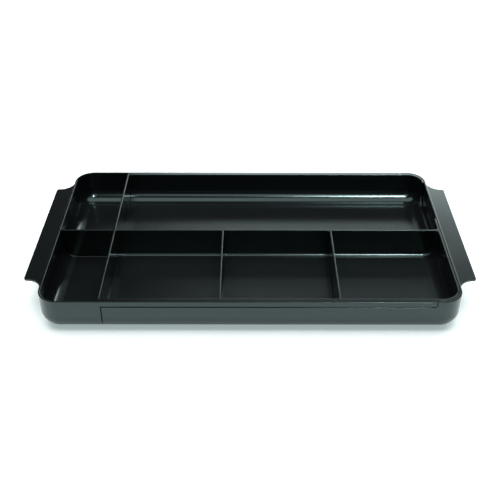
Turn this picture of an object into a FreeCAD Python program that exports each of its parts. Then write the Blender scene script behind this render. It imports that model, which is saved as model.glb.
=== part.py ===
"""Expandable compartment tray: two nested mouldings that telescope, with a wing on each end.

Millimetres. Origin at the centre of the footprint, on the surface the tray stands on.
+X to the right (the way the right half pulls out), +Y to the back, +Z up. The tray is closed.
"""
import FreeCAD, Part
import Sketcher
import math
import os

Vector = FreeCAD.Vector

DIMENSIONS = {
    # overall body
    "body_length": 406.0,
    "body_width": 241.0,
    "rim_height": 37.0,
    "underside": 0.5,
    "corner_radius": 20.0,
    "bottom_radius": 16.5,
    "wall": 2.0,
    "floor_thick": 2.0,
    "sleeve_floor_thick": 2.2,
    "edge_soft": 0.45,
    # where the two mouldings meet
    "jog_x": -141.4,
    "skirt_end_x": 176.0,
    "seam": 0.8,
    "skirt_thick": 1.4,
    "skirt_height": 5.6,
    "ledge_thick": 1.8,
    "tongue_gap": 0.3,
    "tongue_thick": 1.3,
    "slide_gap": 0.4,
    # inner moulding, nested stretch
    "nested_wall": 2.4,
    "nested_end_wall": 1.8,
    "nested_bottom_radius": 14.5,
    "bowl_corner": 15.2,
    "bowl_radius": 14.0,
    # compartments
    "divider": 1.8,
    "middle_foot": 4.0,
    "divider_crease": 0.8,
    "cross_wall_x": -143.6,
    "short_divider_a_x": -29.0,
    "short_divider_b_x": 85.0,
    "scoop_y": 59.5,
    "scoop_top_width": 75.0,
    "scoop_depth": 25.0,
    "scoop_radius": 15.0,
    "scoop_inboard": 7.0,
    # wings
    "wing_reach": 18.0,
    "wing_thick": 2.3,
    "wing_drop": 1.0,
    "wing_half_width": 84.0,
    "wing_root_radius": 15.0,
    "wing_tip_radius": 2.5,
    # sliding retainers
    "travel": 150.0,
    "button_x": 30.0,
    "button_y": 60.0,
    "shank_radius": 3.0,
    "head_radius": 6.0,
    "head_thick": 0.9,
    "shank_depth": 1.2,
    "seat_gap": 0.05,
    "head_lift": 0.1,
    "head_soft": 0.3,
    "slot_gap": 0.3,
    "slot_end_flat": 0.1,
    "channel_depth": 1.3,
    # anti-slip pads
    "pad_radius": 5.0,
    "pad_recess": 0.8,
    "pad_gap": 0.15,
    "pad_soft": 0.25,
    "pad_left_x": -170.0,
    "pad_right_x": 160.0,
    "pad_y": 82.0,
}


class Size:
    """A length that carries both its value and the sheet expression that gives it."""

    def __init__(self, value, text):
        self.value = value
        self.text = text

    def __add__(self, other):
        return combine(self, other, "+", self.value + as_size(other).value)

    def __radd__(self, other):
        return as_size(other) + self

    def __sub__(self, other):
        return combine(self, other, "-", self.value - as_size(other).value)

    def __rsub__(self, other):
        return as_size(other) - self

    def __mul__(self, factor):
        return Size(self.value * factor, f"({self.text}) * {factor}")

    def __rmul__(self, factor):
        return self * factor

    def __truediv__(self, factor):
        return Size(self.value / factor, f"({self.text}) / {factor}")

    def __neg__(self):
        return Size(-self.value, f"-({self.text})")


def as_size(number):
    if isinstance(number, Size):
        return number
    return Size(float(number), repr(float(number)))


def combine(left, right, sign, value):
    right = as_size(right)
    return Size(value, f"({left.text}) {sign} ({right.text})")


doc = FreeCAD.newDocument("ExpandableTray")
sheet = doc.addObject("Spreadsheet::Sheet", "Dims")
for line, (alias, number) in enumerate(DIMENSIONS.items(), start=1):
    sheet.set(f"A{line}", alias)
    sheet.set(f"B{line}", str(number))
    sheet.setAlias(f"B{line}", alias)
doc.recompute()


def dim(alias):
    return Size(float(sheet.get(alias)), f"Dims.{alias}")


# ---- places worked out from the driving sizes ----
half_length = dim("body_length") / 2
half_width = dim("body_width") / 2
rim = dim("rim_height")
base = dim("underside")
jog = dim("jog_x")
seam = dim("seam")
cross_x = dim("cross_wall_x")
half_divider = dim("divider") / 2

skirt_inner_y = half_width - dim("skirt_thick")
tongue_outer_y = skirt_inner_y - dim("tongue_gap")
tongue_inner_y = tongue_outer_y - dim("tongue_thick")
nested_y = tongue_inner_y - dim("slide_gap")
nested_inner_y = nested_y - dim("nested_wall")

sleeve_end_inner_x = half_length - dim("wall")
nested_end_x = sleeve_end_inner_x - dim("slide_gap")
nested_end_inner_x = nested_end_x - dim("nested_end_wall")

sleeve_floor_top = base + dim("sleeve_floor_thick")
nested_base = sleeve_floor_top + dim("slide_gap")
head_base = base + dim("head_lift")
nested_floor_top = nested_base + dim("floor_thick")
left_floor_top = base + dim("floor_thick")

skirt_base = rim - dim("skirt_height")
ledge_base = rim - dim("ledge_thick")
sleeve_start_x = jog + seam
sleeve_shoulder = skirt_base - seam
tongue_top = ledge_base - dim("tongue_gap")
full_wall_x = dim("skirt_end_x") + seam
wing_top = rim - dim("wing_drop")
wing_base = wing_top - dim("wing_thick")
wing_tip_x = half_length + dim("wing_reach")
overlap = as_size(1.0)
clear_above = as_size(6.0)


# ---- small helpers ----
def new_body(label):
    body = doc.addObject("PartDesign::Body", label)
    body.Label = label
    return body


def origin_plane(body, role):
    for feature in body.Origin.OriginFeatures:
        if feature.Role == role:
            return feature
    raise ValueError(role)


def new_sketch(body, name, height, role="XY_Plane"):
    """An empty sketch on an origin plane, moved along the plane's normal."""
    sketch = body.newObject("Sketcher::SketchObject", name)
    sketch.AttachmentSupport = [(origin_plane(body, role), "")]
    sketch.MapMode = "FlatFace"
    sketch.setExpression("AttachmentOffset.Base.z", as_size(height).text)
    return sketch


def bind(sketch, kind, arguments, size, name):
    """A dimensional constraint whose value follows the sheet."""
    index = sketch.addConstraint(Sketcher.Constraint(kind, *arguments, size.value))
    sketch.renameConstraint(index, name)
    sketch.setExpression(f"Constraints.{name}", size.text)


def draw_outline(sketch, corners, tag=""):
    """A closed outline of straight runs along X and Y.

    corners is a list of (x, y, radius); a radius of None leaves the corner sharp.
    """
    count = len(corners)
    points = [Vector(x.value, y.value, 0) for x, y, radius in corners]
    starts = []
    ends = []
    for i in range(count):
        here = points[i]
        to_last = (points[i - 1] - here).normalize()
        to_next = (points[(i + 1) % count] - here).normalize()
        setback = corners[i][2].value if corners[i][2] else 0.0
        ends.append(here + to_last * setback)
        starts.append(here + to_next * setback)
    lines = []
    for i in range(count):
        segment = Part.LineSegment(starts[i], ends[(i + 1) % count])
        lines.append(sketch.addGeometry(segment))
    for i in range(count):
        before = lines[i - 1]
        after = lines[i]
        radius = corners[i][2]
        if radius is None:
            sketch.addConstraint(Sketcher.Constraint("Coincident", before, 2, after, 1))
            continue
        center = ends[i] + (starts[i] - points[i])
        from_center = ends[i] - center
        to_center = starts[i] - center
        turns_left = from_center.cross(to_center).z > 0
        first, last = (1, 2) if turns_left else (2, 1)
        low, high = (from_center, to_center) if turns_left else (to_center, from_center)
        circle = Part.Circle(center, Vector(0, 0, 1), radius.value)
        start_angle = math.atan2(low.y, low.x)
        end_angle = math.atan2(high.y, high.x)
        if end_angle < start_angle:
            end_angle += 2 * math.pi
        curve = sketch.addGeometry(Part.ArcOfCircle(circle, start_angle, end_angle))
        sketch.addConstraint(Sketcher.Constraint("Tangent", before, 2, curve, first))
        sketch.addConstraint(Sketcher.Constraint("Tangent", curve, last, after, 1))
        bind(sketch, "Radius", (curve,), radius, f"{tag}radius{i}")
    for i in range(count):
        here = corners[i]
        following = corners[(i + 1) % count]
        level = abs(here[1].value - following[1].value) < 1e-6
        if level:
            sketch.addConstraint(Sketcher.Constraint("Horizontal", lines[i]))
            bind(sketch, "DistanceY", (-1, 1, lines[i], 1), here[1], f"{tag}y{i}")
        else:
            sketch.addConstraint(Sketcher.Constraint("Vertical", lines[i]))
            bind(sketch, "DistanceX", (-1, 1, lines[i], 1), here[0], f"{tag}x{i}")


def rectangle(x0, x1, y0, y1, radii=(None, None, None, None)):
    """Corners from the low-left one, anticlockwise."""
    return [(x0, y0, radii[0]), (x1, y0, radii[1]), (x1, y1, radii[2]), (x0, y1, radii[3])]


def pad(body, name, outlines, bottom, top):
    """Pads closed outlines upwards from one height to another."""
    sketch = new_sketch(body, name + "_sketch", bottom)
    for number, corners in enumerate(outlines):
        draw_outline(sketch, corners, tag=f"o{number}_")
    feature = body.newObject("PartDesign::Pad", name)
    feature.Profile = sketch
    feature.setExpression("Length", (top - bottom).text)
    doc.recompute()
    return feature


def pocket(body, name, outlines, top, bottom):
    """Pockets closed outlines downwards from one height to another."""
    sketch = new_sketch(body, name + "_sketch", top)
    for number, corners in enumerate(outlines):
        draw_outline(sketch, corners, tag=f"o{number}_")
    before = body.Shape.Volume
    feature = body.newObject("PartDesign::Pocket", name)
    feature.Profile = sketch
    feature.setExpression("Length", (top - bottom).text)
    doc.recompute()
    if not body.Shape.Volume < before - 1e-3:
        raise RuntimeError(name + " cut nothing")
    return feature


def fillet(body, name, radius, wanted):
    """Rounds every edge of the body's present shape that wanted(edge) picks."""
    feature_base = body.Tip
    names = [f"Edge{i}" for i, edge in enumerate(feature_base.Shape.Edges, start=1) if wanted(edge)]
    if not names:
        raise RuntimeError(name + " found no edges")
    feature = body.newObject("PartDesign::Fillet", name)
    feature.Base = (feature_base, names)
    feature.setExpression("Radius", radius.text)
    doc.recompute()
    return feature


def flat_at(edge, height):
    """True for an edge that lies wholly at one height."""
    box = edge.BoundBox
    return abs(box.ZMin - height.value) < 1e-4 and abs(box.ZMax - height.value) < 1e-4


def lies_on(edge, axis, place):
    """True for an edge that lies wholly in a plane of constant x or y."""
    box = edge.BoundBox
    low = getattr(box, axis + "Min")
    high = getattr(box, axis + "Max")
    return abs(low - place.value) < 1e-4 and abs(high - place.value) < 1e-4


def draw_circle(sketch, x, y, radius, tag):
    circle = Part.Circle(Vector(x.value, y.value, 0), Vector(0, 0, 1), radius.value)
    index = sketch.addGeometry(circle)
    bind(sketch, "DistanceX", (-1, 1, index, 3), x, tag + "x")
    bind(sketch, "DistanceY", (-1, 1, index, 3), y, tag + "y")
    bind(sketch, "Radius", (index,), radius, tag + "radius")


def disc(body, name, radius, bottom, top):
    """Pads a round disc on the body's own axis."""
    sketch = new_sketch(body, name + "_sketch", bottom)
    draw_circle(sketch, as_size(0.0), as_size(0.0), radius, "disc_")
    feature = body.newObject("PartDesign::Pad", name)
    feature.Profile = sketch
    feature.setExpression("Length", (top - bottom).text)
    doc.recompute()
    return feature


def blind_holes(body, name, centres, radius, top, bottom):
    """Pockets round holes downwards from a height inside the solid to below its underside."""
    sketch = new_sketch(body, name + "_sketch", top)
    for number, (x, y) in enumerate(centres):
        draw_circle(sketch, x, y, radius, f"hole{number}_")
    before = body.Shape.Volume
    feature = body.newObject("PartDesign::Pocket", name)
    feature.Profile = sketch
    feature.setExpression("Length", (top - bottom).text)
    doc.recompute()
    if not body.Shape.Volume < before - 1e-3:
        raise RuntimeError(name + " cut nothing")
    return feature


def subtract(label, blank, tools):
    """A blank body with several bodies of air cut out of it."""
    air = tools[0]
    if len(tools) > 1:
        air = doc.addObject("Part::MultiFuse", label + "_air")
        air.Shapes = tools
    result = doc.addObject("Part::Cut", label)
    result.Label = label
    result.Base = blank
    result.Tool = air
    doc.recompute()
    if not result.Shape.Volume < blank.Shape.Volume - 1e-3:
        raise RuntimeError(label + " lost nothing")
    return result


def soften(label, source, radius, wanted):
    """Rounds the picked edges of a finished shape."""
    result = doc.addObject("Part::Fillet", label)
    result.Label = label
    result.Base = source
    result.Edges = [(i, radius.value, radius.value)
                    for i, edge in enumerate(source.Shape.Edges, start=1) if wanted(edge)]
    doc.recompute()
    return result


def wing_outline(side):
    """Flange with a concave sweep at each root; side is +1 for the right end, -1 for the left."""
    root = (half_length - overlap) * side
    face = half_length * side
    tip = wing_tip_x * side
    half = dim("wing_half_width")
    sweep = dim("wing_root_radius")
    wide = half + sweep + overlap
    lower = [(root, -wide, None), (face, -wide, None), (face, -half, sweep), (tip, -half, dim("wing_tip_radius"))]
    upper = [(x, -y, radius) for x, y, radius in reversed(lower)]
    outline = lower + upper
    if side < 0:
        outline.reverse()
    return outline


# ---- the air in each compartment, as a body to be cut out ----
def air_cell(name, bowl, open_x, floor_top, bowl_radius, x_range, y_range, middle_foot=None):
    """One compartment: part of a round-bottomed bowl, with a small radius against the dividers.

    bowl is the outline of the whole bowl and open_x its flat end, at the cross wall.
    x_range and y_range hold the dividers' faces, or None where the bowl's own wall bounds the cell.
    middle_foot is the larger radius along the foot of the middle divider, where it has one.
    """
    air = new_body(name)
    top = rim + clear_above
    pad(air, name + "_block", [bowl], floor_top, top)
    fillet(air, name + "_round", bowl_radius, lambda edge: flat_at(edge, floor_top) and not lies_on(edge, "X", open_x))
    far_x = half_length + overlap
    far_y = half_width + overlap
    below = floor_top - overlap
    faces = [("X", open_x)]
    if x_range[0] is not None:
        pocket(air, name + "_trim_left", [rectangle(-far_x, x_range[0], -far_y, far_y)], top, below)
        faces.append(("X", x_range[0]))
    if x_range[1] is not None:
        pocket(air, name + "_trim_right", [rectangle(x_range[1], far_x, -far_y, far_y)], top, below)
        faces.append(("X", x_range[1]))
    if y_range[0] is not None:
        pocket(air, name + "_trim_front", [rectangle(-far_x, far_x, -far_y, y_range[0])], top, below)
        faces.append(("Y", y_range[0]))
    if y_range[1] is not None:
        pocket(air, name + "_trim_back", [rectangle(-far_x, far_x, y_range[1], far_y)], top, below)
        faces.append(("Y", y_range[1]))

    if middle_foot is not None:
        middle = [place for axis, place in faces if axis == "Y"]
        fillet(air, name + "_foot", middle_foot,
               lambda edge: flat_at(edge, floor_top) and any(lies_on(edge, "Y", place) for place in middle))
        faces = [(axis, place) for axis, place in faces if axis == "X"]

    def divider_edge(edge):
        return not flat_at(edge, top) and any(lies_on(edge, axis, place) for axis, place in faces)

    fillet(air, name + "_crease", dim("divider_crease"), divider_edge)
    return air


def left_cells():
    """The two compartments left of the cross wall."""
    open_x = cross_x - half_divider
    corner = dim("corner_radius") - dim("wall")
    round_radius = dim("bottom_radius") - dim("wall")
    end_x = -half_length + dim("wall")
    side_y = half_width - dim("wall")
    bowl = rectangle(end_x, open_x, -side_y, side_y, (corner, None, None, corner))
    ranges = {
        "air_left_front": (None, -half_divider),
        "air_left_back": (half_divider, None),
    }
    return [air_cell(name, bowl, open_x, left_floor_top, round_radius, (None, None), y_range)
            for name, y_range in ranges.items()]


def nested_cells():
    """The long back compartment and the three front ones right of the cross wall."""
    open_x = cross_x + half_divider
    corner = dim("bowl_corner")
    bowl = rectangle(open_x, nested_end_inner_x, -nested_inner_y, nested_inner_y, (None, corner, corner, None))
    first = dim("short_divider_a_x")
    second = dim("short_divider_b_x")
    ranges = {
        "air_back": ((None, None), (half_divider, None)),
        "air_front_left": ((None, first - half_divider), (None, -half_divider)),
        "air_front_middle": ((first + half_divider, second - half_divider), (None, -half_divider)),
        "air_front_right": ((second + half_divider, None), (None, -half_divider)),
    }
    return [air_cell(name, bowl, open_x, nested_floor_top, dim("bowl_radius"), x_range, y_range, dim("middle_foot"))
            for name, (x_range, y_range) in ranges.items()]


# ---- the two mouldings ----
def make_left_tray():
    """Inner moulding: left end and wing, dividers, and the stretch that nests in the other half."""
    tray = new_body("left_tray_blank")
    corner = dim("corner_radius")
    nested_corner = corner - dim("wall") - dim("slide_gap")
    nested_start = jog - overlap
    pad(tray, "nested_block", [rectangle(nested_start, nested_end_x, -nested_y, nested_y,
                                         (None, nested_corner, nested_corner, None))], nested_base, rim)
    fillet(tray, "nested_block_round", dim("nested_bottom_radius"),
           lambda edge: flat_at(edge, nested_base) and not lies_on(edge, "X", nested_start))
    pad(tray, "left_block", [rectangle(-half_length, jog, -half_width, half_width, (corner, None, None, corner))],
        base, rim)
    fillet(tray, "left_block_round", dim("bottom_radius"),
           lambda edge: flat_at(edge, base) and not lies_on(edge, "X", jog))

    skirt_end = dim("skirt_end_x")
    inboard = nested_y - overlap
    pad(tray, "ledges", [rectangle(jog - overlap, skirt_end, -half_width, -inboard),
                         rectangle(jog - overlap, skirt_end, inboard, half_width)], ledge_base, rim)
    pad(tray, "skirts", [rectangle(jog - overlap, skirt_end, -half_width, -skirt_inner_y),
                         rectangle(jog - overlap, skirt_end, skirt_inner_y, half_width)], skirt_base, rim)
    pad(tray, "left_wing", [wing_outline(-1)], wing_base, wing_top)

    button_seats = [(dim("button_x"), dim("button_y") * side) for side in (-1.0, 1.0)]
    blind_holes(tray, "button_seats", button_seats, dim("shank_radius") + dim("seat_gap"),
                nested_base + dim("shank_depth"), nested_base - overlap)
    pad_seats = [(dim("pad_left_x"), dim("pad_y") * side) for side in (-1.0, 1.0)]
    blind_holes(tray, "left_pad_seats", pad_seats, dim("pad_radius") + dim("pad_gap"),
                base + dim("pad_recess"), base - overlap)
    hollowed = subtract("left_tray_hollowed", tray, left_cells() + nested_cells() + [scoop_air()])
    return soften("left_tray", hollowed, dim("edge_soft"), compartment_rim)


def compartment_rim(edge):
    """True for the top edges of the compartments, and not for the outline of the body."""
    if not flat_at(edge, rim):
        return False
    box = edge.BoundBox
    inside_y = max(abs(box.YMin), abs(box.YMax)) < half_width.value - overlap.value
    inside_x = box.XMin > (overlap - half_length).value and box.XMax < (nested_end_inner_x + overlap).value
    return inside_x and inside_y


def scoop_air():
    """Round-bottomed notch through the nested end wall of the long back compartment."""
    air = new_body("air_scoop")
    half = dim("scoop_top_width") / 2
    sketch = new_sketch(air, "scoop_sketch", nested_end_inner_x - dim("scoop_inboard"), "YZ_Plane")
    radius = dim("scoop_radius")
    low = rim - dim("scoop_depth")
    draw_outline(sketch, rectangle(dim("scoop_y") - half, dim("scoop_y") + half, low, rim + clear_above,
                                   (radius, radius, None, None)))
    feature = air.newObject("PartDesign::Pad", "scoop")
    feature.Profile = sketch
    feature.setExpression("Length", (dim("scoop_inboard") + dim("nested_end_wall") + overlap).text)
    doc.recompute()
    return air


def make_right_tray():
    """Outer moulding: a sleeve open at its left end, with lowered long walls and the right wing."""
    tray = new_body("right_tray_blank")
    corner = dim("corner_radius")
    pad(tray, "sleeve_block", [rectangle(sleeve_start_x, half_length, -half_width, half_width,
                                         (None, corner, corner, None))], base, rim)
    fillet(tray, "sleeve_round", dim("bottom_radius"),
           lambda edge: flat_at(edge, base) and not lies_on(edge, "X", sleeve_start_x))

    outside = half_width + overlap
    inboard = tongue_inner_y - overlap
    start = sleeve_start_x - overlap
    pocket(tray, "tongue_top", [rectangle(start, full_wall_x, -outside, -inboard),
                                rectangle(start, full_wall_x, inboard, outside)], rim + overlap, tongue_top)
    pocket(tray, "shoulder", [rectangle(start, full_wall_x, -outside, -tongue_outer_y),
                              rectangle(start, full_wall_x, tongue_outer_y, outside)], rim + overlap, sleeve_shoulder)
    pad(tray, "right_wing", [wing_outline(1)], wing_base, wing_top)
    cut_slots(tray)
    pad_seats = [(dim("pad_right_x"), dim("pad_y") * side) for side in (-1.0, 1.0)]
    blind_holes(tray, "right_pad_seats", pad_seats, dim("pad_radius") + dim("pad_gap"),
                base + dim("pad_recess"), base - overlap)
    return subtract("right_tray", tray, [sleeve_air()])


def sleeve_air():
    """The hollow that takes the other moulding, round-bottomed and open to the left."""
    air = new_body("air_sleeve")
    corner = dim("corner_radius") - dim("wall")
    start = sleeve_start_x - overlap
    pad(air, "sleeve_hollow", [rectangle(start, sleeve_end_inner_x, -tongue_inner_y, tongue_inner_y,
                                         (None, corner, corner, None))], sleeve_floor_top, rim + clear_above)
    fillet(air, "sleeve_hollow_round", dim("bottom_radius") - dim("wall"),
           lambda edge: flat_at(edge, sleeve_floor_top) and not lies_on(edge, "X", start))
    return air


def slot_outline(centre_y, half_slot):
    """Long round-ended slot that lets a button of the given half width travel its full way."""
    closed_x = dim("button_x") + half_slot
    open_x = dim("button_x") - dim("travel") - half_slot
    end_radius = half_slot - dim("slot_end_flat")
    return rectangle(open_x, closed_x, centre_y - half_slot, centre_y + half_slot, (end_radius,) * 4)


def cut_slots(tray):
    """Slots for the shanks, inside wider channels of the underside for the heads."""
    sides = [dim("button_y") * side for side in (-1.0, 1.0)]
    channel_half = dim("head_radius") + dim("slot_gap")
    slot_half = dim("shank_radius") + dim("slot_gap")
    pocket(tray, "head_channels", [slot_outline(y, channel_half) for y in sides],
           base + dim("channel_depth"), base - overlap)
    pocket(tray, "shank_slots", [slot_outline(y, slot_half) for y in sides],
           sleeve_floor_top + overlap, base - overlap)


# ---- retainers and pads ----
def make_guide_button(label, side):
    """Flat-headed button: its head runs under the slot, its shank is fixed in the floor above."""
    button = new_body(label)
    head_top = dim("head_thick")
    disc(button, label + "_head", dim("head_radius"), as_size(0.0), head_top)
    fillet(button, label + "_head_round", dim("head_soft"), lambda edge: flat_at(edge, as_size(0.0)))
    disc(button, label + "_shank", dim("shank_radius"), head_top, nested_base + dim("shank_depth") - head_base)
    button.setExpression("Placement.Base.x", dim("button_x").text)
    button.setExpression("Placement.Base.y", (dim("button_y") * side).text)
    button.setExpression("Placement.Base.z", head_base.text)
    return button


def make_foot_pad(label, x, side):
    """Round anti-slip pad, standing a little out of its recess."""
    foot = new_body(label)
    disc(foot, label + "_disc", dim("pad_radius"), as_size(0.0), base + dim("pad_recess"))
    fillet(foot, label + "_round", dim("pad_soft"), lambda edge: flat_at(edge, as_size(0.0)))
    foot.setExpression("Placement.Base.x", x.text)
    foot.setExpression("Placement.Base.y", (dim("pad_y") * side).text)
    return foot


def check_and_export(parts):
    """Stops on any failed object, then writes one file per sub-part."""
    doc.recompute()
    for item in doc.Objects:
        bad = [state for state in item.State if state in ("Invalid", "Error")]
        if bad:
            raise RuntimeError(f"{item.Label}: {item.State}")
    for part in parts:
        if part.Shape.isNull() or not part.Shape.isValid():
            raise RuntimeError(part.Label + " has no valid shape")
    os.makedirs("parts", exist_ok=True)
    for part in parts:
        part.Shape.exportStep(f"parts/{part.Label}.step")
        box = part.Shape.BoundBox
        print(f"{part.Label}: {len(part.Shape.Solids)} solid, {part.Shape.Volume / 1000:.1f} cm3,",
              f"x {box.XMin:.1f}..{box.XMax:.1f}  y {box.YMin:.1f}..{box.YMax:.1f}  z {box.ZMin:.1f}..{box.ZMax:.1f}")


sub_parts = [
    make_left_tray(),
    make_right_tray(),
    make_guide_button("guide_button_front", -1.0),
    make_guide_button("guide_button_rear", 1.0),
    make_foot_pad("foot_pad_front_left", dim("pad_left_x"), -1.0),
    make_foot_pad("foot_pad_rear_left", dim("pad_left_x"), 1.0),
    make_foot_pad("foot_pad_front_right", dim("pad_right_x"), -1.0),
    make_foot_pad("foot_pad_rear_right", dim("pad_right_x"), 1.0),
]
check_and_export(sub_parts)
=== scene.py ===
import bpy
import bmesh
import math
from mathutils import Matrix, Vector


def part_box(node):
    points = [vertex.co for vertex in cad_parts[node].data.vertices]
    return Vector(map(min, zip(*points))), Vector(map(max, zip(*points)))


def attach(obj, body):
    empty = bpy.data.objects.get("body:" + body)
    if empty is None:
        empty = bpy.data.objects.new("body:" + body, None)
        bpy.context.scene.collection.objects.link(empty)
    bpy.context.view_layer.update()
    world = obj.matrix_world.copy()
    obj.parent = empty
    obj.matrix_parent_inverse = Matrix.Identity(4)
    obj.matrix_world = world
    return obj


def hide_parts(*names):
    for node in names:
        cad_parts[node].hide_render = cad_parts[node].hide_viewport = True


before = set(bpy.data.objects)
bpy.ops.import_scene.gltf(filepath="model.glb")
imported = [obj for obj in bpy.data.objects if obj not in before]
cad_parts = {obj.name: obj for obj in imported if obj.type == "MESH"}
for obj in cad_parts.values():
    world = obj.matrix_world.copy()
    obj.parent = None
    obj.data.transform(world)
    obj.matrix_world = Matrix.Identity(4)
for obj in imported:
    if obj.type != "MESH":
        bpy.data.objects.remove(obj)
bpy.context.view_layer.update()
bpy.ops.object.select_all(action="DESELECT")
print("frame loaded:", ", ".join(sorted(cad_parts)))

near = 1e-5  # two places closer than this are the same place
over = 0.010  # how far a cutting shape stands past what it cuts
sharpAngle = 60  # degrees, an edge that turns more is sharp


# Handling pieces

def addBlock(name, low, high):
    bpy.ops.object.select_all(action="DESELECT")
    middle = [(a + b) / 2 for a, b in zip(low, high)]
    bpy.ops.mesh.primitive_cube_add(size=1.0, location=middle)
    block = bpy.context.object
    block.scale = [b - a for a, b in zip(low, high)]
    bpy.ops.object.transform_apply(location=True, rotation=True, scale=True)
    block.name = name
    return block


def editMesh(piece, mode="EDGE"):
    bpy.ops.object.select_all(action="DESELECT")
    piece.select_set(True)
    bpy.context.view_layer.objects.active = piece
    bpy.ops.object.mode_set(mode="EDIT")
    bpy.ops.mesh.select_mode(type=mode)
    bpy.ops.mesh.select_all(action="DESELECT")
    return bmesh.from_edit_mesh(piece.data)


def pickEdges(piece, wanted):
    shape = editMesh(piece, "EDGE")
    for edge in shape.edges:
        if wanted(edge):
            edge.select_set(True)
    shape.select_flush_mode()
    bmesh.update_edit_mesh(piece.data)


def pickFaces(piece, wanted):
    shape = editMesh(piece, "FACE")
    for face in shape.faces:
        if wanted(face):
            face.select_set(True)
    shape.select_flush_mode()
    bmesh.update_edit_mesh(piece.data)


def roundEdges(piece, radius, bands, wanted):
    pickEdges(piece, wanted)
    bpy.ops.mesh.bevel(offset=radius, segments=bands, profile=0.5, affect="EDGES", clamp_overlap=False)
    bpy.ops.object.mode_set(mode="OBJECT")


def ends(edge):
    return edge.verts[0].co, edge.verts[1].co


def liesOn(edge, axis, place):
    a, b = ends(edge)
    return abs(a[axis] - place) < near and abs(b[axis] - place) < near


def isUpright(edge):
    a, b = ends(edge)
    return abs(a.x - b.x) < near and abs(a.y - b.y) < near


def isSharp(edge):
    return len(edge.link_faces) == 2 and edge.calc_face_angle() > math.radians(sharpAngle)


def roundedBlock(name, low, high, openSides, corner, bottom):
    # a block with rounded upright corners and a rounded bottom, except on its open sides,
    # which are given as (axis, place) pairs
    block = addBlock(name, low, high)

    def onOpenSide(edge):
        return any(liesOn(edge, axis, place) for axis, place in openSides)

    if corner:
        roundEdges(block, corner, steps["corner"], lambda e: isUpright(e) and not onOpenSide(e))
    roundEdges(block, bottom, steps["bottom"], lambda e: liesOn(e, 2, low[2]) and not onOpenSide(e))
    return block


def combine(piece, others, how):
    for other in others:
        bpy.ops.object.select_all(action="DESELECT")
        bpy.context.view_layer.objects.active = piece
        piece.select_set(True)
        change = piece.modifiers.new("combine", "BOOLEAN")
        change.operation = how
        change.solver = "EXACT"
        change.object = other
        bpy.ops.object.modifier_apply(modifier=change.name)
        bpy.data.objects.remove(other)
    return piece


smoothing = {
    "weld": 0.00002, "bandWeld": 0.000003,                      # metres
    "flatWithin": 0.4, "softAbove": 50.0, "smoothBelow": 35.0,  # degrees
}


def softenAndSmooth(piece, edgeSoft, edgeSteps):
    editMesh(piece, "VERT")
    bpy.ops.mesh.select_all(action="SELECT")
    bpy.ops.mesh.remove_doubles(threshold=smoothing["weld"])
    bpy.ops.mesh.dissolve_degenerate(threshold=smoothing["weld"])
    bpy.ops.mesh.dissolve_limited(angle_limit=math.radians(smoothing["flatWithin"]))
    bpy.ops.object.mode_set(mode="OBJECT")
    soft = piece.modifiers.new("softEdges", "BEVEL")
    soft.width = edgeSoft
    soft.segments = edgeSteps
    soft.limit_method = "ANGLE"
    soft.angle_limit = math.radians(smoothing["softAbove"])
    soft.use_clamp_overlap = False
    soft.miter_outer = "MITER_ARC"
    bpy.ops.object.modifier_apply(modifier=soft.name)
    # closes the bands of no height that are left where two softened edges meet
    editMesh(piece, "VERT")
    bpy.ops.mesh.select_all(action="SELECT")
    bpy.ops.mesh.remove_doubles(threshold=smoothing["bandWeld"])
    bpy.ops.object.mode_set(mode="OBJECT")
    bpy.ops.object.shade_smooth_by_angle(angle=math.radians(smoothing["smoothBelow"]))
    even = piece.modifiers.new("evenShading", "WEIGHTED_NORMAL")
    even.keep_sharp = True
    bpy.ops.object.modifier_apply(modifier=even.name)


def standFor(piece, slot, body, *nodes):
    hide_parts(*nodes)
    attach(piece, body)


def centreOf(node):
    low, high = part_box(node)
    return (low + high) / 2


# Trays

# how many bands each kind of rounding has
steps = {
    "corner": 16, "bottom": 14, "foot": 8, "crease": 4, "soft": 3,
    "wingRoot": 14, "wingTip": 6, "scoop": 12, "slotEnd": 12,
}

shell = {
    "wall": 0.0020,
    "floor": 0.0020,
    "corner": 0.0200,
    "bottom": 0.0165,
    "seam": 0.0008,
    "edgeSoft": 0.00045,
}
inner = {
    "innerCorner": 0.0180,
    "innerBottom": 0.0145,
    "besideGap": 0.0034,       # outer face of the nested stretch to the outside of the tray
    "underGap": 0.0026,        # its underside above the tray's underside
    "nestedCorner": 0.0176,
    "nestedBottom": 0.0145,
    "nestedWall": 0.0024,
    "endWall": 0.0018,
    "bowlCorner": 0.0152,
    "bowlBottom": 0.0140,
    "divider": 0.0018,
    "middleFoot": 0.0040,
    "crease": 0.0008,
    "crossWall": -0.1436,
    "shortDividers": (-0.0290, 0.0850),
    "jogOverlap": 0.0086,      # how far the nested stretch runs back inside the full-width end
    "scoopFrom": 0.0220, "scoopTo": 0.0970, "scoopDepth": 0.0250, "scoopCorner": 0.0150,
    "scoopInside": 0.0040, "scoopOutside": 0.0010,
}
wing = {
    "reach": 0.0180, "thick": 0.0023, "drop": 0.0010, "halfWidth": 0.0840,
    "rootRadius": 0.0150, "tipRadius": 0.0025,
    "rootHalfWidth": 0.1000, "rootShare": 0.7,  # its root, and the share of the wall that it goes into
}

leftLow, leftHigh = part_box("left_tray")
rightLow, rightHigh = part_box("right_tray")
rim = leftHigh.z
under = leftLow.z
halfWidth = leftHigh.y
leftEnd = leftLow.x + wing["reach"]
rightEnd = rightHigh.x - wing["reach"]
jog = rightLow.x - shell["seam"]


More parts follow.
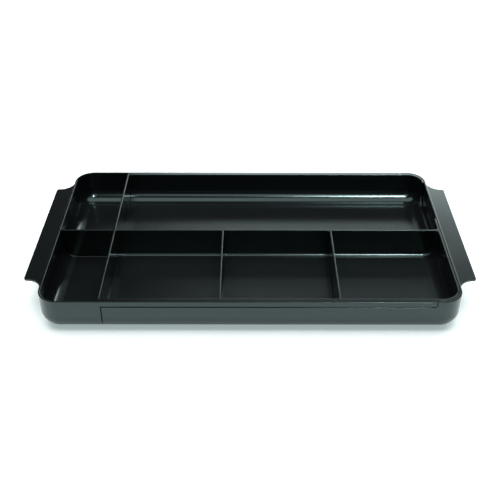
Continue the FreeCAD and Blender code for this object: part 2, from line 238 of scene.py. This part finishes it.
def makeWing(name, side):
    # side is -1 for the left wing, 1 for the right
    root, tip = side * rightEnd, side * (rightEnd + wing["reach"])
    top = rim - wing["drop"]
    back = root - side * shell["wall"] * wing["rootShare"]
    low = (min(root, back), -wing["rootHalfWidth"], top - wing["thick"])
    high = (max(root, back), wing["rootHalfWidth"], top)
    plate = addBlock(name, low, high)
    for y in (-wing["halfWidth"], wing["halfWidth"]):
        editMesh(plate, "FACE")
        bpy.ops.mesh.select_all(action="SELECT")
        bpy.ops.mesh.bisect(plane_co=(0, y, 0), plane_no=(0, 1, 0))
        bpy.ops.object.mode_set(mode="OBJECT")
    pickFaces(plate, lambda f: abs(f.calc_center_median().x - root) < near
              and abs(f.calc_center_median().y) < wing["halfWidth"])
    bpy.ops.mesh.extrude_region_move(TRANSFORM_OT_translate={"value": (tip - root, 0, 0)})
    bpy.ops.object.mode_set(mode="OBJECT")
    roundEdges(plate, wing["rootRadius"], steps["wingRoot"], lambda e: isUpright(e) and liesOn(e, 0, root)
               and (liesOn(e, 1, wing["halfWidth"]) or liesOn(e, 1, -wing["halfWidth"])))
    roundEdges(plate, wing["tipRadius"], steps["wingTip"], lambda e: isUpright(e) and liesOn(e, 0, tip)
               and abs(abs(ends(e)[0].y) - wing["halfWidth"]) < near)
    return plate


skirt = {
    "end": 0.1760, "thick": 0.0014, "height": 0.0056, "ledgeThick": 0.0018, "ledgeWidth": 0.0044,
    "buried": 0.0010,          # how far it starts inside the full-width end
}


def makeSkirt(name, side):
    # the flange over the right half's long wall: a ledge with a lip turned down along its outside
    face = side * halfWidth
    root = side * (halfWidth - skirt["ledgeWidth"])
    lipInside = side * (halfWidth - skirt["thick"])
    low = (jog - skirt["buried"], min(face, root), rim - skirt["ledgeThick"])
    high = (skirt["end"], max(face, root), rim)
    flange = addBlock(name, low, high)
    editMesh(flange, "FACE")
    bpy.ops.mesh.select_all(action="SELECT")
    bpy.ops.mesh.bisect(plane_co=(0, lipInside, 0), plane_no=(0, 1, 0))
    bpy.ops.object.mode_set(mode="OBJECT")
    pickFaces(flange, lambda f: f.normal.z < -0.9 and abs(f.calc_center_median().y) > abs(lipInside))
    drop = skirt["height"] - skirt["ledgeThick"]
    bpy.ops.mesh.extrude_region_move(TRANSFORM_OT_translate={"value": (0, 0, -drop)})
    bpy.ops.object.mode_set(mode="OBJECT")
    return flange


def makeDisc(name, x, y, low, high, radius, sides=48):
    bpy.ops.object.select_all(action="DESELECT")
    bpy.ops.mesh.primitive_cylinder_add(vertices=sides, radius=radius, depth=high - low,
                                        location=(x, y, (low + high) / 2))
    disc = bpy.context.object
    bpy.ops.object.transform_apply(location=True, rotation=True, scale=True)
    disc.name = name
    return disc


def padRecesses(x):
    return [makeDisc("recess", x, y, under - over, under + pad["recessDepth"], pad["recessRadius"])
            for y in (-pad["y"], pad["y"])]


def makeAir(low, high, crossWalls, middle, corner, bottom, middleFoot):
    # the space of one compartment: crossWalls are the X of its dividers, middle is the Y of the middle one
    air = roundedBlock("air", low, high, [(0, x) for x in crossWalls] + [(1, middle)],
                       corner if len(crossWalls) == 1 else None, bottom)
    if middleFoot:
        roundEdges(air, middleFoot, steps["foot"], lambda e: isSharp(e) and liesOn(e, 1, middle)
                   and (not isUpright(e) or not any(liesOn(e, 0, x) for x in crossWalls))
                   and not liesOn(e, 2, high[2]))
    roundEdges(air, inner["crease"], steps["crease"], lambda e: isSharp(e) and not liesOn(e, 2, high[2]))
    return air


def makeLeftTray():
    nestedEnd = leftHigh.x
    nestedLow = under + inner["underGap"]
    nestedSide = halfWidth - inner["besideGap"]
    tray = roundedBlock("leftTray", (leftEnd, -halfWidth, under), (jog, halfWidth, rim),
                        [(0, jog)], shell["corner"], shell["bottom"])
    nestedStart = jog - inner["jogOverlap"]
    nested = roundedBlock("nested", (nestedStart, -nestedSide, nestedLow), (nestedEnd, nestedSide, rim),
                          [(0, nestedStart)], inner["nestedCorner"], inner["nestedBottom"])
    additions = [nested, makeSkirt("skirtFront", -1), makeSkirt("skirtBack", 1), makeWing("wing", -1)]
    combine(tray, additions, "UNION")

    half = inner["divider"] / 2
    cross = inner["crossWall"]
    leftSide, longSide = leftEnd + shell["wall"], halfWidth - shell["wall"]
    leftFloor = under + shell["floor"]
    cells = []
    for front, back, middle in ((-longSide, -half, -half), (half, longSide, half)):
        cells.append(makeAir((leftSide, front, leftFloor), (cross - half, back, rim + over),
                             [cross - half], middle, inner["innerCorner"], inner["innerBottom"], None))
    bowlSide = nestedSide - inner["nestedWall"]
    bowlFloor = nestedLow + shell["floor"]
    bowlEnd = nestedEnd - inner["endWall"]
    bowlStart = cross + half
    first, second = inner["shortDividers"]
    cells.append(makeAir((bowlStart, half, bowlFloor), (bowlEnd, bowlSide, rim + over), [bowlStart], half,
                         inner["bowlCorner"], inner["bowlBottom"], inner["middleFoot"]))
    for start, end in ((bowlStart, first - half), (first + half, second - half), (second + half, bowlEnd)):
        walls = [start] if end == bowlEnd else [start, end]
        cells.append(makeAir((start, -bowlSide, bowlFloor), (end, -half, rim + over), walls, -half,
                             inner["bowlCorner"], inner["bowlBottom"], inner["middleFoot"]))
    scoopLow = rim - inner["scoopDepth"]
    scoop = addBlock("scoop", (bowlEnd - inner["scoopInside"], inner["scoopFrom"], scoopLow),
                     (nestedEnd + inner["scoopOutside"], inner["scoopTo"], rim + over))
    roundEdges(scoop, inner["scoopCorner"], steps["scoop"],
               lambda e: liesOn(e, 2, scoopLow) and abs(ends(e)[0].x - ends(e)[1].x) > near)
    seatTop = nestedLow + button["seatDepth"]
    seats = [makeDisc("seat", button["x"], y, nestedLow - over, seatTop, button["seatRadius"])
             for y in (-button["y"], button["y"])]
    combine(tray, cells + [scoop] + seats + padRecesses(pad["leftX"]), "DIFFERENCE")
    softenAndSmooth(tray, shell["edgeSoft"], steps["soft"])
    standFor(tray, "tray_plastic", "left_half", "left_tray")
    return tray


sleeve = {
    "wall": 0.0030, "floor": 0.0022, "innerCorner": 0.0180, "innerBottom": 0.0145,
    "shoulderEnd": 0.1768, "shoulder": 0.0306,
    "tongueTop": 0.0349, "tongueOut": 0.0017, "tongueIn": 0.0040,
    "slotFrom": -0.1233, "slotTo": 0.0333, "slotHalf": 0.0033, "slotY": 0.0600, "slotAbove": 0.0010,
    "slotEndShare": 0.999,     # the slots' round ends, as a share of half their width
    "channelHalf": 0.0063, "channelTop": 0.0018,
}


def makeSlotCutter(low, high, halfAcross, centreY):
    bar = addBlock("slot", (sleeve["slotFrom"] + sleeve["slotHalf"] - halfAcross, centreY - halfAcross, low),
                   (sleeve["slotTo"] - sleeve["slotHalf"] + halfAcross, centreY + halfAcross, high))
    roundEdges(bar, halfAcross * sleeve["slotEndShare"], steps["slotEnd"], isUpright)
    return bar


def makeRightTray():
    tray = roundedBlock("rightTray", (rightLow.x, -halfWidth, under), (rightEnd, halfWidth, rim),
                        [(0, rightLow.x)], shell["corner"], shell["bottom"])
    combine(tray, [makeWing("wing", 1)], "UNION")
    longSide = halfWidth - sleeve["wall"]
    endSide = rightEnd - shell["wall"]
    start = rightLow.x - over
    floorTop = under + sleeve["floor"]
    hollow = roundedBlock("hollow", (start, -longSide, floorTop), (endSide, longSide, rim + over),
                          [(0, start)], sleeve["innerCorner"], sleeve["innerBottom"])
    cutters = [hollow]
    for sign in (-1, 1):
        outside = sign * (halfWidth + over)
        tongue = sign * (halfWidth - sleeve["tongueOut"])
        cutters.append(addBlock("shoulder", (start, min(outside, tongue), sleeve["shoulder"]),
                                (sleeve["shoulderEnd"], max(outside, tongue), rim + over)))
        inside = sign * (longSide - sleeve["tongueIn"])
        cutters.append(addBlock("tongue", (start, min(outside, inside), sleeve["tongueTop"]),
                                (sleeve["shoulderEnd"], max(outside, inside), rim + over)))
        centreY = sign * sleeve["slotY"]
        slotTop = floorTop + sleeve["slotAbove"]
        cutters.append(makeSlotCutter(under - over, slotTop, sleeve["slotHalf"], centreY))
        cutters.append(makeSlotCutter(under - over, sleeve["channelTop"], sleeve["channelHalf"], centreY))
    combine(tray, cutters + padRecesses(pad["rightX"]), "DIFFERENCE")
    softenAndSmooth(tray, shell["edgeSoft"], steps["soft"])
    standFor(tray, "tray_plastic", "right_half", "right_tray")
    return tray


# Buttons and pads

discSides = 64


def stepFaces(piece, middle, height, reach, insetBy, pushBy):
    # insets the round face at this height that reaches no further than reach, then pushes it along Z
    pickFaces(piece, lambda f: abs(f.calc_center_median().z - height) < near and abs(f.normal.z) > 0.9
              and max((v.co.xy - middle.xy).length for v in f.verts) < reach + near)
    bpy.ops.mesh.inset(thickness=insetBy, depth=0)
    bpy.ops.mesh.extrude_region_move(TRANSFORM_OT_translate={"value": (0, 0, pushBy)})
    bpy.ops.object.mode_set(mode="OBJECT")


button = {
    "x": 0.0300, "y": 0.0600,
    "headRadius": 0.0060, "shankRadius": 0.0030, "headThick": 0.0009, "edgeSoft": 0.00024,
    "seatRadius": 0.00305, "seatDepth": 0.0012, "dimpleRadius": 0.0026, "dimpleDepth": 0.0003,
}


def makeButton(node):
    low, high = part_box(node)
    middle = centreOf(node)
    headTop = low.z + button["headThick"]
    piece = makeDisc(node + "Shape", middle.x, middle.y, low.z, headTop, button["headRadius"], discSides)
    stepFaces(piece, middle, headTop, button["headRadius"],
              button["headRadius"] - button["shankRadius"], high.z - low.z - button["headThick"])
    stepFaces(piece, middle, low.z, button["headRadius"],
              button["headRadius"] - button["dimpleRadius"], button["dimpleDepth"])
    softenAndSmooth(piece, button["edgeSoft"], steps["soft"])
    standFor(piece, "button_plastic", "left_half", node)
    return piece


pad = {
    "leftX": -0.1700, "rightX": 0.1600, "y": 0.0820,
    "radius": 0.0050, "recessRadius": 0.00515, "recessDepth": 0.0008, "edgeSoft": 0.00008, "edgeSteps": 2,
    "grooves": (0.0039, 0.0027, 0.0015), "grooveWidth": 0.0005, "grooveDepth": 0.00025,
    "grooveLip": 0.00002,      # the flat band round a groove's mouth
}


def makePad(node, body):
    low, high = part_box(node)
    middle = centreOf(node)
    piece = makeDisc(node + "Shape", middle.x, middle.y, low.z, high.z, pad["radius"], discSides)
    reach = pad["radius"]
    for groove in pad["grooves"]:
        # each groove is a ring let into the face that meets the table
        stepFaces(piece, middle, low.z, reach, reach - groove, 0)
        stepFaces(piece, middle, low.z, groove, pad["grooveLip"], pad["grooveDepth"])
        stepFaces(piece, middle, low.z + pad["grooveDepth"], groove, pad["grooveWidth"], -pad["grooveDepth"])
        reach = groove - pad["grooveWidth"]
    softenAndSmooth(piece, pad["edgeSoft"], pad["edgeSteps"])
    standFor(piece, "pad_rubber", body, node)
    return piece


leftTray = makeLeftTray()
print("left tray:", len(leftTray.data.polygons), "faces")
rightTray = makeRightTray()
print("right tray:", len(rightTray.data.polygons), "faces")
buttons = [makeButton("guide_button_front"), makeButton("guide_button_rear")]
pads = [makePad("foot_pad_front_left", "left_half"), makePad("foot_pad_rear_left", "left_half"),
        makePad("foot_pad_front_right", "right_half"), makePad("foot_pad_rear_right", "right_half")]
print("buttons and pads:", len(buttons) + len(pads))


# Finishes

def addNode(tree, kind, place, **settings):
    node = tree.nodes.new(kind)
    node.location = place
    for name, value in settings.items():
        setattr(node, name, value)
    return node


grainSettings = {
    "poreDetail": 3.0, "waveDetail": 1.0, "waveScale": 22.0, "waveShare": 0.8,
    "cloudDetail": 5.0, "cloudRoughness": 0.6,
}


def makeGrainGroup():
    # moulded skin: fine pores for the bump and a slow cloud for colour and gloss
    group = bpy.data.node_groups.new("mouldedGrain", "ShaderNodeTree")
    group.interface.new_socket("Vector", in_out="INPUT", socket_type="NodeSocketVector")
    group.interface.new_socket("Pore Scale", in_out="INPUT", socket_type="NodeSocketFloat")
    group.interface.new_socket("Cloud Scale", in_out="INPUT", socket_type="NodeSocketFloat")
    group.interface.new_socket("Height", in_out="OUTPUT", socket_type="NodeSocketFloat")
    group.interface.new_socket("Cloud", in_out="OUTPUT", socket_type="NodeSocketFloat")
    start = addNode(group, "NodeGroupInput", (-700, 0))
    end = addNode(group, "NodeGroupOutput", (500, 0))
    pores = addNode(group, "ShaderNodeTexNoise", (-400, 200))
    pores.inputs["Detail"].default_value = grainSettings["poreDetail"]
    waves = addNode(group, "ShaderNodeTexNoise", (-400, -50))
    waves.inputs["Detail"].default_value = grainSettings["waveDetail"]
    waves.inputs["Scale"].default_value = grainSettings["waveScale"]
    cloud = addNode(group, "ShaderNodeTexNoise", (-400, -300))
    cloud.inputs["Detail"].default_value = grainSettings["cloudDetail"]
    cloud.inputs["Roughness"].default_value = grainSettings["cloudRoughness"]
    mixed = addNode(group, "ShaderNodeMix", (0, 150), data_type="FLOAT")
    mixed.inputs["Factor"].default_value = grainSettings["waveShare"]
    group.links.new(start.outputs["Vector"], pores.inputs["Vector"])
    group.links.new(start.outputs["Vector"], waves.inputs["Vector"])
    group.links.new(start.outputs["Vector"], cloud.inputs["Vector"])
    group.links.new(start.outputs["Pore Scale"], pores.inputs["Scale"])
    group.links.new(start.outputs["Cloud Scale"], cloud.inputs["Scale"])
    group.links.new(pores.outputs["Fac"], mixed.inputs["A"])
    group.links.new(waves.outputs["Fac"], mixed.inputs["B"])
    group.links.new(mixed.outputs["Result"], end.inputs["Height"])
    group.links.new(cloud.outputs["Fac"], end.inputs["Cloud"])
    return group


markSettings = {
    "rubScale": (14.0, 260.0, 90.0), "rubTurn": (0.0, 0.0, 0.12), "rubDetail": 2.0,
    "rubFrom": 0.62, "rubTo": 0.80,
    "upFrom": 0.6, "upTo": 1.0,  # how far up a face looks before dust lies on it
}


def makeHandlingGroup():
    # faint rub marks and a trace of dust where a face looks up
    group = bpy.data.node_groups.new("handlingMarks", "ShaderNodeTree")
    group.interface.new_socket("Vector", in_out="INPUT", socket_type="NodeSocketVector")
    group.interface.new_socket("Rubbing", in_out="INPUT", socket_type="NodeSocketFloat")
    group.interface.new_socket("Dust", in_out="INPUT", socket_type="NodeSocketFloat")
    group.interface.new_socket("Mask", in_out="OUTPUT", socket_type="NodeSocketFloat")
    start = addNode(group, "NodeGroupInput", (-900, 0))
    end = addNode(group, "NodeGroupOutput", (500, 0))
    drawn = addNode(group, "ShaderNodeMapping", (-700, 200))
    drawn.inputs["Scale"].default_value = markSettings["rubScale"]
    drawn.inputs["Rotation"].default_value = markSettings["rubTurn"]
    rub = addNode(group, "ShaderNodeTexNoise", (-500, 200))
    rub.inputs["Scale"].default_value = 1.0
    rub.inputs["Detail"].default_value = markSettings["rubDetail"]
    thin = addNode(group, "ShaderNodeMapRange", (-300, 200))
    thin.inputs["From Min"].default_value = markSettings["rubFrom"]
    thin.inputs["From Max"].default_value = markSettings["rubTo"]
    rubbed = addNode(group, "ShaderNodeMath", (-100, 200), operation="MULTIPLY")
    shape = addNode(group, "ShaderNodeNewGeometry", (-700, -150))
    parts = addNode(group, "ShaderNodeSeparateXYZ", (-500, -150))
    up = addNode(group, "ShaderNodeMapRange", (-300, -150))
    up.inputs["From Min"].default_value = markSettings["upFrom"]
    up.inputs["From Max"].default_value = markSettings["upTo"]
    dusty = addNode(group, "ShaderNodeMath", (-100, -150), operation="MULTIPLY")
    both = addNode(group, "ShaderNodeMath", (150, 50), operation="ADD", use_clamp=True)
    group.links.new(start.outputs["Vector"], drawn.inputs["Vector"])
    group.links.new(drawn.outputs["Vector"], rub.inputs["Vector"])
    group.links.new(rub.outputs["Fac"], thin.inputs["Value"])
    group.links.new(thin.outputs["Result"], rubbed.inputs[0])
    group.links.new(start.outputs["Rubbing"], rubbed.inputs[1])
    group.links.new(shape.outputs["Normal"], parts.inputs["Vector"])
    group.links.new(parts.outputs["Z"], up.inputs["Value"])
    group.links.new(up.outputs["Result"], dusty.inputs[0])
    group.links.new(start.outputs["Dust"], dusty.inputs[1])
    group.links.new(rubbed.outputs["Value"], both.inputs[0])
    group.links.new(dusty.outputs["Value"], both.inputs[1])
    group.links.new(both.outputs["Value"], end.inputs["Mask"])
    return group


mouldedGrain = makeGrainGroup()
handlingMarks = makeHandlingGroup()

trayFinish = {
    "deepColor": (0.0038, 0.0044, 0.0050, 1.0),
    "paleColor": (0.0062, 0.0070, 0.0077, 1.0),
    "roughness": (0.13, 0.18),
    "markRoughness": 0.10,
    "ior": 1.57,
    "reflectionTint": (0.76, 0.99, 1.0, 1.0),
    "poreScale": 900.0, "cloudScale": 7.0, "bumpStrength": 0.05, "bumpDepth": 0.0004,
    "rubbing": 0.35, "dust": 0.12,
}
buttonFinish = {
    "deepColor": (0.010, 0.011, 0.011, 1.0),
    "paleColor": (0.018, 0.020, 0.020, 1.0),
    "roughness": (0.42, 0.55),
    "markRoughness": 0.12,
    "ior": 1.50,
    "reflectionTint": (1.0, 1.0, 1.0, 1.0),
    "poreScale": 2600.0, "cloudScale": 60.0, "bumpStrength": 0.20, "bumpDepth": 0.0002,
    "rubbing": 0.60, "dust": 0.05,
}
padFinish = {
    "deepColor": (0.016, 0.016, 0.017, 1.0),
    "paleColor": (0.032, 0.032, 0.033, 1.0),
    "roughness": (0.78, 0.92),
    "markRoughness": 0.05,
    "ior": 1.48,
    "reflectionTint": (1.0, 1.0, 1.0, 1.0),
    "poreScale": 3800.0, "cloudScale": 140.0, "bumpStrength": 0.45, "bumpDepth": 0.0003,
    "rubbing": 0.20, "dust": 0.30,
}


cloudRange = (0.3, 0.7)  # the stretch of the cloud that carries the roughness from one end to the other


def makeFinish(name, finish):
    material = bpy.data.materials.new(name)
    material.use_nodes = True
    tree = material.node_tree
    surface = tree.nodes["Principled BSDF"]
    where = addNode(tree, "ShaderNodeTexCoord", (-1100, 0))
    grain = addNode(tree, "ShaderNodeGroup", (-850, 150), node_tree=mouldedGrain)
    grain.inputs["Pore Scale"].default_value = finish["poreScale"]
    grain.inputs["Cloud Scale"].default_value = finish["cloudScale"]
    marks = addNode(tree, "ShaderNodeGroup", (-850, -150), node_tree=handlingMarks)
    marks.inputs["Rubbing"].default_value = finish["rubbing"]
    marks.inputs["Dust"].default_value = finish["dust"]
    tint = addNode(tree, "ShaderNodeMix", (-500, 250), data_type="RGBA")
    tint.inputs["A"].default_value = finish["deepColor"]
    tint.inputs["B"].default_value = finish["paleColor"]
    gloss = addNode(tree, "ShaderNodeMapRange", (-500, 0))
    gloss.inputs["From Min"].default_value, gloss.inputs["From Max"].default_value = cloudRange
    gloss.inputs["To Min"].default_value, gloss.inputs["To Max"].default_value = finish["roughness"]
    worn = addNode(tree, "ShaderNodeMath", (-250, -100), operation="MULTIPLY_ADD")
    worn.inputs[1].default_value = finish["markRoughness"]
    bump = addNode(tree, "ShaderNodeBump", (-250, -350))
    bump.inputs["Strength"].default_value = finish["bumpStrength"]
    bump.inputs["Distance"].default_value = finish["bumpDepth"]
    tree.links.new(where.outputs["Object"], grain.inputs["Vector"])
    tree.links.new(where.outputs["Object"], marks.inputs["Vector"])
    tree.links.new(grain.outputs["Cloud"], tint.inputs["Factor"])
    tree.links.new(tint.outputs["Result"], surface.inputs["Base Color"])
    tree.links.new(grain.outputs["Cloud"], gloss.inputs["Value"])
    tree.links.new(marks.outputs["Mask"], worn.inputs[0])
    tree.links.new(gloss.outputs["Result"], worn.inputs[2])
    tree.links.new(worn.outputs["Value"], surface.inputs["Roughness"])
    tree.links.new(grain.outputs["Height"], bump.inputs["Height"])
    tree.links.new(bump.outputs["Normal"], surface.inputs["Normal"])
    surface.inputs["IOR"].default_value = finish["ior"]
    surface.inputs["Specular Tint"].default_value = finish["reflectionTint"]
    return material


def paint(pieces, material):
    for piece in pieces:
        piece.data.materials.clear()
        piece.data.materials.append(material)


paint([leftTray, rightTray], makeFinish("trayPlastic", trayFinish))
paint(buttons, makeFinish("buttonPlastic", buttonFinish))
paint(pads, makeFinish("padRubber", padFinish))
print("finishes made")


# Studio

studio = {
    "floorSize": 14.0,
    "floorColor": (0.86, 0.87, 0.87, 1.0),
    "floorGlow": 0.39, "glowColor": (0.82, 1.0, 1.0, 1.0), "farGlow": 1.35, "glowNear": 1.3, "glowFar": 2.6,
    "roomGlow": 0.04, "roomColor": (0.9, 1.0, 1.0, 1.0), "whiteGlow": 1.05,
    "fillPower": 56.0, "fillColor": (1.0, 0.94, 0.94), "fillPlace": (0, 0.3, 2.6), "fillSize": 2.4,
    "panelColor": (0.92, 1.0, 0.99, 1.0), "backGlow": 5.2,
    "backDistance": 3.0, "backLeft": -0.95, "backRight": 3.6, "backHeight": 3.0, "backLeftFade": 0.98,
}
panels = {
    "skyPanel": {"place": (0, 0.5, 3.0), "width": 6.0, "height": 3.0, "glow": 1.85},
    "frontPanel": {"place": (0.15, -1.8, 1.8), "width": 1.5, "height": 0.85, "glow": 1.5},
    "keyPanel": {"place": (0.34, -1.4, 1.95), "width": 0.68, "height": 0.36, "glow": 130.0, "fade": 2.6},
}
# how the backdrop's light falls off with height, as (share of its height, share of its light)
backFade = ((0.0, 1.0), (0.56, 1.0), (0.60, 0.34), (0.64, 0.13), (0.70, 0.075), (0.80, 0.058), (1.0, 0.012))


def makeGlow(name, strength):
    material = bpy.data.materials.new(name)
    material.use_nodes = True
    tree = material.node_tree
    tree.nodes.clear()
    out = addNode(tree, "ShaderNodeOutputMaterial", (300, 0))
    glow = addNode(tree, "ShaderNodeEmission", (0, 0))
    glow.inputs["Color"].default_value = studio["panelColor"]
    glow.inputs["Strength"].default_value = strength
    tree.links.new(glow.outputs["Emission"], out.inputs["Surface"])
    return material


def addPanel(name):
    # a glowing board that faces the part
    setup = panels[name]
    bpy.ops.mesh.primitive_plane_add(size=1.0, location=setup["place"])
    panel = bpy.context.object
    panel.name = name
    panel.rotation_euler = (-Vector(setup["place"])).to_track_quat("Z", "Y").to_euler()
    panel.scale = (setup["width"], setup["height"], 1.0)
    panel.data.materials.append(makeGlow(name + "Glow", setup["glow"]))
    panel.visible_camera = False
    return panel


def shadeAcross(panel, strength, fade):
    # brightest at the panel's right edge, falling to nothing at its left
    tree = panel.data.materials[0].node_tree
    where = addNode(tree, "ShaderNodeTexCoord", (-800, 0))
    parts = addNode(tree, "ShaderNodeSeparateXYZ", (-600, 0))
    across = addNode(tree, "ShaderNodeMath", (-400, 0), operation="SUBTRACT")
    across.inputs[0].default_value = 0.5
    curve = addNode(tree, "ShaderNodeMath", (-200, 100), operation="POWER")
    curve.inputs[1].default_value = fade
    level = addNode(tree, "ShaderNodeMath", (-200, -100), operation="MULTIPLY")
    level.inputs[1].default_value = strength
    tree.links.new(where.outputs["Object"], parts.inputs["Vector"])
    tree.links.new(parts.outputs["X"], across.inputs[1])
    tree.links.new(across.outputs["Value"], curve.inputs[0])
    tree.links.new(curve.outputs["Value"], level.inputs[0])
    tree.links.new(level.outputs["Value"], tree.nodes["Emission"].inputs["Strength"])


def addBackdrop():
    left, right, height = studio["backLeft"], studio["backRight"], studio["backHeight"]
    middle = ((left + right) / 2, studio["backDistance"], height / 2)
    bpy.ops.mesh.primitive_plane_add(size=1.0, location=middle, rotation=(math.radians(90), 0, 0))
    drop = bpy.context.object
    drop.name = "backdrop"
    drop.scale = (right - left, height, 1.0)
    bpy.ops.object.transform_apply(location=True, rotation=True, scale=True)
    material = makeGlow("backdropGlow", 1.0)
    tree = material.node_tree
    where = addNode(tree, "ShaderNodeTexCoord", (-1100, 0))
    parts = addNode(tree, "ShaderNodeSeparateXYZ", (-900, 0))
    side = addNode(tree, "ShaderNodeMapRange", (-700, 150), interpolation_type="SMOOTHSTEP")
    side.inputs["From Min"].default_value = left
    side.inputs["From Max"].default_value = left + studio["backLeftFade"]
    side.inputs["To Max"].default_value = studio["backGlow"]
    rise = addNode(tree, "ShaderNodeMath", (-700, -100), operation="DIVIDE")
    rise.inputs[1].default_value = height
    ramp = addNode(tree, "ShaderNodeValToRGB", (-500, -100))
    stops = ramp.color_ramp.elements
    while len(stops) < len(backFade):
        stops.new(0.5)
    for stop, (place, share) in zip(stops, backFade):
        stop.position = place
        stop.color = (share, share, share, 1.0)
    both = addNode(tree, "ShaderNodeMath", (-200, 0), operation="MULTIPLY")
    tree.links.new(where.outputs["Object"], parts.inputs["Vector"])
    tree.links.new(parts.outputs["X"], side.inputs["Value"])
    tree.links.new(parts.outputs["Z"], rise.inputs[0])
    tree.links.new(rise.outputs["Value"], ramp.inputs["Fac"])
    tree.links.new(side.outputs["Result"], both.inputs[0])
    tree.links.new(ramp.outputs["Color"], both.inputs[1])
    tree.links.new(both.outputs["Value"], tree.nodes["Emission"].inputs["Strength"])
    drop.data.materials.append(material)
    drop.visible_camera = False


def addFloor():
    bpy.ops.mesh.primitive_plane_add(size=studio["floorSize"], location=(0, 0, 0))
    floor = bpy.context.object
    floor.name = "studioFloor"
    paper = bpy.data.materials.new("lightTable")
    paper.use_nodes = True
    surface = paper.node_tree.nodes["Principled BSDF"]
    surface.inputs["Base Color"].default_value = studio["floorColor"]
    surface.inputs["Roughness"].default_value = 1.0
    surface.inputs["Specular IOR Level"].default_value = 0.0
    surface.inputs["Emission Color"].default_value = studio["glowColor"]
    # the table fades to plain white well away from the part
    where = addNode(paper.node_tree, "ShaderNodeTexCoord", (-800, 0))
    away = addNode(paper.node_tree, "ShaderNodeVectorMath", (-600, 0), operation="LENGTH")
    glow = addNode(paper.node_tree, "ShaderNodeMapRange", (-400, 0), interpolation_type="SMOOTHSTEP")
    for socket, setting in (("From Min", "glowNear"), ("From Max", "glowFar"), ("To Min", "floorGlow"),
                            ("To Max", "farGlow")):
        glow.inputs[socket].default_value = studio[setting]
    paper.node_tree.links.new(where.outputs["Object"], away.inputs[0])
    paper.node_tree.links.new(away.outputs["Value"], glow.inputs["Value"])
    paper.node_tree.links.new(glow.outputs["Result"], surface.inputs["Emission Strength"])
    floor.data.materials.append(paper)


def addRoom():
    world = bpy.data.worlds.new("studioRoom")
    bpy.context.scene.world = world
    world.use_nodes = True
    tree = world.node_tree
    tree.nodes.clear()
    out = addNode(tree, "ShaderNodeOutputWorld", (500, 0))
    mix = addNode(tree, "ShaderNodeMixShader", (300, 0))
    room = addNode(tree, "ShaderNodeBackground", (0, 0))
    room.inputs["Color"].default_value = studio["roomColor"]
    room.inputs["Strength"].default_value = studio["roomGlow"]
    white = addNode(tree, "ShaderNodeBackground", (0, -150))
    white.inputs["Color"].default_value = (1, 1, 1, 1)
    white.inputs["Strength"].default_value = studio["whiteGlow"]
    rays = addNode(tree, "ShaderNodeLightPath", (0, 300))
    tree.links.new(rays.outputs["Is Camera Ray"], mix.inputs["Fac"])
    tree.links.new(room.outputs["Background"], mix.inputs[1])
    tree.links.new(white.outputs["Background"], mix.inputs[2])
    tree.links.new(mix.outputs["Shader"], out.inputs["Surface"])


addFloor()
addRoom()
addBackdrop()
sky = addPanel("skyPanel")
sky.rotation_euler = (math.radians(180), 0, 0)  # straight down
front = addPanel("frontPanel")
key = addPanel("keyPanel")
shadeAcross(key, panels["keyPanel"]["glow"], panels["keyPanel"]["fade"])
# these two are seen only as reflections, so the floor keeps its shadow under the front
front.visible_diffuse = False
key.visible_diffuse = False
bpy.ops.object.light_add(type="AREA", location=studio["fillPlace"])
fill = bpy.context.object
fill.name = "floorFill"
fill.data.energy = studio["fillPower"]
fill.data.color = studio["fillColor"]
fill.data.size = studio["fillSize"]
fill.visible_glossy = False
print("studio set")

cameraSetup = {"location": (0.0011, -0.7030, 0.5174), "pitchDown": 35.78, "yaw": 0.102,
               "lens": 57.88, "sensor": 36.0, "clipEnd": 50.0}


def addCamera(setup):
    turn = (math.radians(90.0 - setup["pitchDown"]), 0.0, math.radians(setup["yaw"]))
    bpy.ops.object.camera_add(location=setup["location"], rotation=turn)
    camera = bpy.context.object
    camera.name = "viewCamera"
    camera.data.lens = setup["lens"]
    camera.data.sensor_width = setup["sensor"]
    camera.data.dof.use_dof = False
    camera.data.clip_end = setup["clipEnd"]
    bpy.context.scene.camera = camera


addCamera(cameraSetup)
bpy.context.scene.view_settings.view_transform = "Standard"
